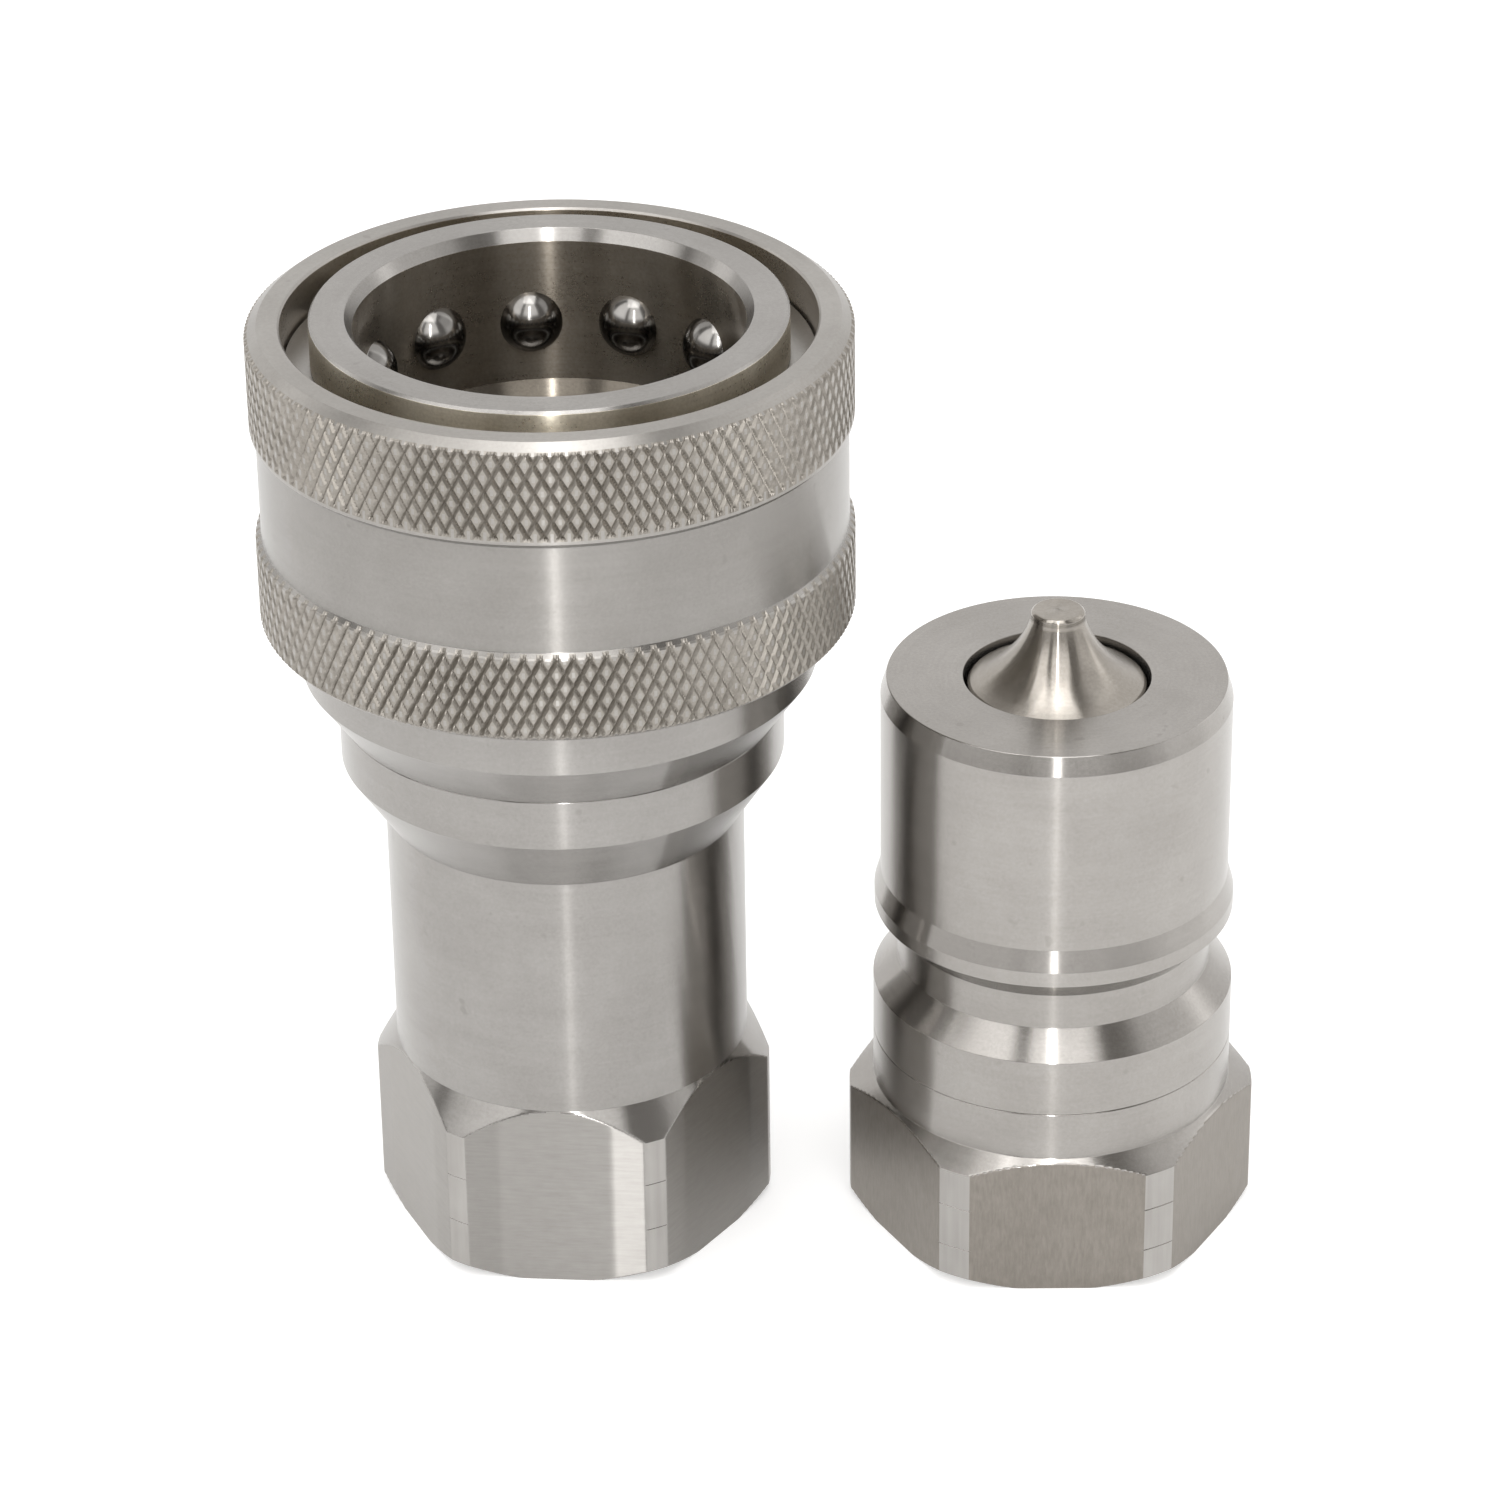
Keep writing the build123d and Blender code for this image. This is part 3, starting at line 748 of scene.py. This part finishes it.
# ---------------------------------------------------------------- springs
def coil_spring(node, name, axis, turns, body):
    """Compression spring with closed, ground ends."""
    wire_r = 0.7 * MM
    low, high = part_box(node)
    mean_r = (high.x - low.x) / 2 - wire_r
    sides, steps = 14, int(48 * turns)
    closed = 0.9
    rise = high.z - low.z - 2 * wire_r
    flat_pitch = 2 * wire_r * 0.98
    active = rise - 2 * closed * flat_pitch
    verts, faces = [], []
    for i in range(steps + 1):
        turn = turns * i / steps
        if turn < closed:
            z = turn * flat_pitch
        elif turn > turns - closed:
            z = rise - (turns - turn) * flat_pitch
        else:
            share = (turn - closed) / (turns - 2 * closed)
            z = closed * flat_pitch + active * share
        angle = 2 * math.pi * turn
        out = Vector((math.cos(angle), math.sin(angle), 0))
        for k in range(sides):
            spin = 2 * math.pi * k / sides
            reach = mean_r + wire_r * math.cos(spin)
            height = low.z + wire_r + z + wire_r * math.sin(spin)
            height = min(high.z - 0.25 * wire_r * (turn > turns - closed), height)
            height = max(low.z + 0.25 * wire_r * (turn < closed), height)
            verts.append(axis + out * reach + Vector((0, 0, height)))
    for i in range(steps):
        for k in range(sides):
            m = (k + 1) % sides
            faces.append((i * sides + k, i * sides + m, (i + 1) * sides + m, (i + 1) * sides + k))
    faces.append(tuple(range(sides)))
    faces.append(tuple(steps * sides + sides - 1 - k for k in range(sides)))
    spring = piece_from(name, verts, faces)
    finished(spring, body, node, "spring_steel", wire_steel)
    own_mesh(spring)


SLEEVE_TRAVEL = 7 * MM
VALVE_TRAVEL = 6.5 * MM
for node, axis, turns, body, joint, travel in (
    ("sleeve_spring", SOCKET_AXIS, 4.6, "socket", "sleeve_slide", SLEEVE_TRAVEL),
    ("socket_valve_spring", SOCKET_AXIS, 6.2, "socket", "socket_valve_slide", VALVE_TRAVEL),
    ("plug_valve_spring", PLUG_AXIS, 6.2, "plug", "plug_valve_slide", VALVE_TRAVEL),
):
    coil_spring(node, f"{node}_coil", axis, turns, body)

# ---------------------------------------------------------------- CAD nodes that stay
for name, material in (
    ("sleeve_snap_ring", ring_steel),
    ("socket_valve_guide", socket_steel),
    ("plug_valve_guide", plug_steel),
    ("socket_body_seal", seal_rubber),
    ("socket_mouth_seal", seal_rubber),
    ("plug_body_seal", seal_rubber),
    ("socket_valve_seal", seal_rubber),
    ("plug_valve_seal", seal_rubber),
    ("socket_backup_ring", seal_plastic),
):
    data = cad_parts[name].data
    data.materials.clear()
    data.materials.append(material)


# ---------------------------------------------------------------- floor, light and camera
def pale_floor():
    """Plain pale floor under both halves, lit a little from within like a light table."""
    bpy.ops.mesh.primitive_plane_add(size=12, location=(0, 0, 0))
    floor = bpy.context.object
    floor.name = "floor"
    s = Shader("pale_floor")
    s.set(Base_Color=(0.7, 0.7, 0.7, 1), Roughness=0.9)
    s.set(Emission_Color=(1, 1, 1, 1), Emission_Strength=0.4)
    floor.data.materials.append(s.material)


# Soft panels of the studio: azimuth from the front, its half width, elevation, its half height, brightness
PANELS = [
    (-57, 26, 48, 24, 2.0),
    (8, 27, 55, 31, 1.7),
    (88, 27, 35, 25, 0.6),
    (180, 75, 35, 35, 0.78),
    (-105, 16, 5, 30, 0.6),
    (95, 25, 5, 25, 0.3),
]


def studio_world():
    """A dim warm room with a few large soft panels, plain white to the camera."""
    world = bpy.data.worlds.new("studio")
    world.use_nodes = True
    tree = world.node_tree

    def add(kind, values=(), **settings):
        node = tree.nodes.new(kind)
        for key, value in settings.items():
            setattr(node, key, value)
        for key, value in dict(values).items():
            if isinstance(value, bpy.types.NodeSocket):
                tree.links.new(value, node.inputs[key])
            else:
                node.inputs[key].default_value = value
        return node.outputs[0]

    def edge(value, middle, half, soft):
        """1 inside a range of angles, 0 outside, with a soft edge. The range may cross 180 degrees."""
        gap = add("ShaderNodeMath", {0: value, 1: math.radians(middle)}, operation="SUBTRACT")
        wrapped = add("ShaderNodeMath", {0: gap, 1: -math.pi, 2: math.pi}, operation="WRAP")
        size = add("ShaderNodeMath", {0: wrapped}, operation="ABSOLUTE")
        inputs = {"Value": size, "From Min": math.radians(half - soft), "From Max": math.radians(half + soft)}
        inputs.update({"To Min": 1.0, "To Max": 0.0})
        return add("ShaderNodeMapRange", inputs, interpolation_type="SMOOTHSTEP")

    direction = add("ShaderNodeTexCoord")
    split = tree.nodes.new("ShaderNodeSeparateXYZ")
    tree.links.new(direction, split.inputs[0])
    x, y, z = split.outputs
    front = add("ShaderNodeMath", {0: y, 1: -1.0}, operation="MULTIPLY")
    azimuth = add("ShaderNodeMath", {0: x, 1: front}, operation="ARCTAN2")
    elevation = add("ShaderNodeMath", {0: z}, operation="ARCSINE")
    total = 0.0
    for middle, half, height, half_height, brightness in PANELS:
        sideways = edge(azimuth, middle, half, 3)
        upright = edge(elevation, height, half_height, 6)
        panel = add("ShaderNodeMath", {0: sideways, 1: upright}, operation="MULTIPLY")
        total = add("ShaderNodeMath", {0: panel, 1: brightness, 2: total}, operation="MULTIPLY_ADD")
    panels = add("ShaderNodeBackground", {"Color": (1, 1, 1, 1), "Strength": total})
    room = add("ShaderNodeBackground", {"Color": (1, 0.96, 0.92, 1), "Strength": 0.34})
    lit = add("ShaderNodeAddShader", {0: panels, 1: room})
    backdrop = add("ShaderNodeBackground", {"Color": (1, 1, 1, 1), "Strength": 1.0})
    seen = tree.nodes.new("ShaderNodeLightPath").outputs["Is Camera Ray"]
    mixed = add("ShaderNodeMixShader", {0: seen, 1: lit, 2: backdrop})
    tree.links.new(mixed, tree.nodes["World Output"].inputs["Surface"])
    bpy.context.scene.world = world


def softbox(name, place, target, width, height, watts):
    """Rectangular soft light that points at a target."""
    data = bpy.data.lights.new(name, "AREA")
    data.shape = "RECTANGLE"
    data.size = width
    data.size_y = height
    data.energy = watts
    light = bpy.data.objects.new(name, data)
    light.location = place
    light.rotation_euler = (Vector(target) - Vector(place)).to_track_quat("-Z", "Y").to_euler()
    light.visible_camera = False
    bpy.context.scene.collection.objects.link(light)


def photo_camera():
    """Long lens, looking down at the two halves from in front."""
    pitch = math.radians(28.69)
    distance = 506.4 * MM
    target = Vector((29.08, 15.27, 40)) * MM
    data = bpy.data.cameras.new("camera")
    data.lens = 131.4
    data.sensor_width = 36
    data.shift_x = -0.0924
    data.shift_y = -0.0147
    data.clip_start = 0.01
    data.clip_end = 50
    camera = bpy.data.objects.new("camera", data)
    camera.location = target - Vector((0, math.cos(pitch), -math.sin(pitch))) * distance
    camera.rotation_euler = (math.pi / 2 - pitch, 0, 0)
    bpy.context.scene.collection.objects.link(camera)
    bpy.context.scene.camera = camera


pale_floor()
studio_world()
softbox("overhead", (0.02, -0.1, 0.9), (0.02, 0, 0), 0.5, 0.5, 2)
softbox("front_strip", (0.034, -0.6, 0.42), (0.034, 0, 0.05), 0.02, 0.7, 1.35)
softbox("low_strip", (0.034, -0.75, 0.07), (0.034, 0, 0.04), 0.012, 0.12, 0.2)
photo_camera()
bpy.context.scene.view_settings.view_transform = "Standard"
